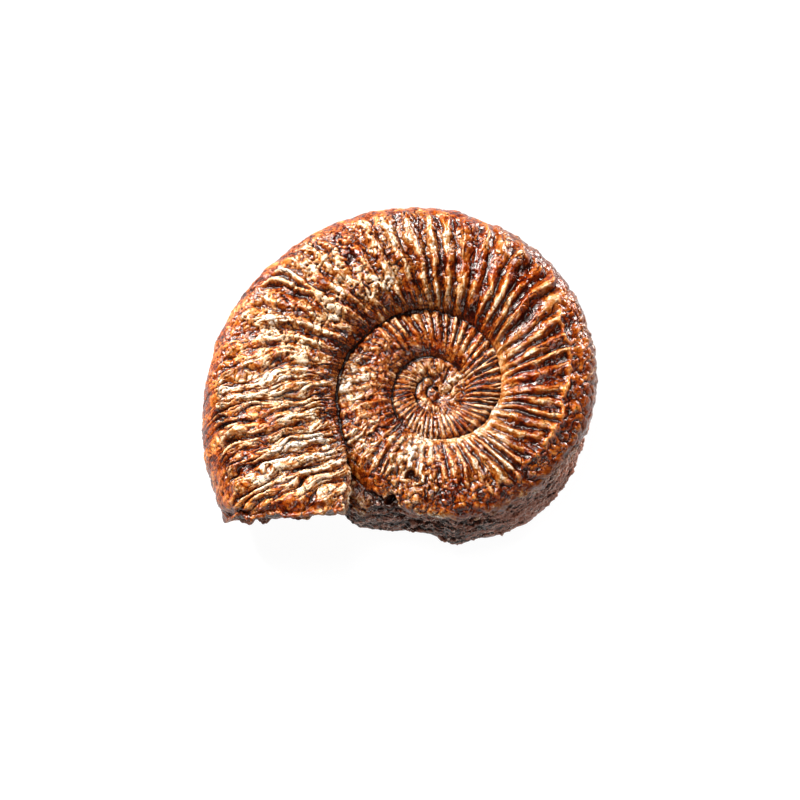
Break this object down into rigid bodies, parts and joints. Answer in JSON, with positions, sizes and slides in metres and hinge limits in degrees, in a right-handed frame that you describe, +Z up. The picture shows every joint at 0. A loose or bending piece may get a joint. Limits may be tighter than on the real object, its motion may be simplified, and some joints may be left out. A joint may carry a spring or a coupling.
{
  "type": "ammonite fossil",
  "caption": "Flat-coiled, ribbed ammonite shell turned to brown stone, its end broken off and a remnant of rock fused to its back and rim, lying on its flank.",
  "frame": {"origin": "centre of the bounding box in plan, on the surface it lies on", "axes": "+Z up out of the coil's flank, +X along the longest extent towards the coil's far side from the broken end, +Y away from the broken end's edge"},
  "size_m": [0.0992, 0.0864, 0.0268],
  "materials": {
    "fossil_stone": "rough stone with a glossy, varnish-like surface on the ribs"
  },
  "bodies": {
    "root": {"ammonite_fossil": "fossil_stone"}
  },
  "joints": []
}
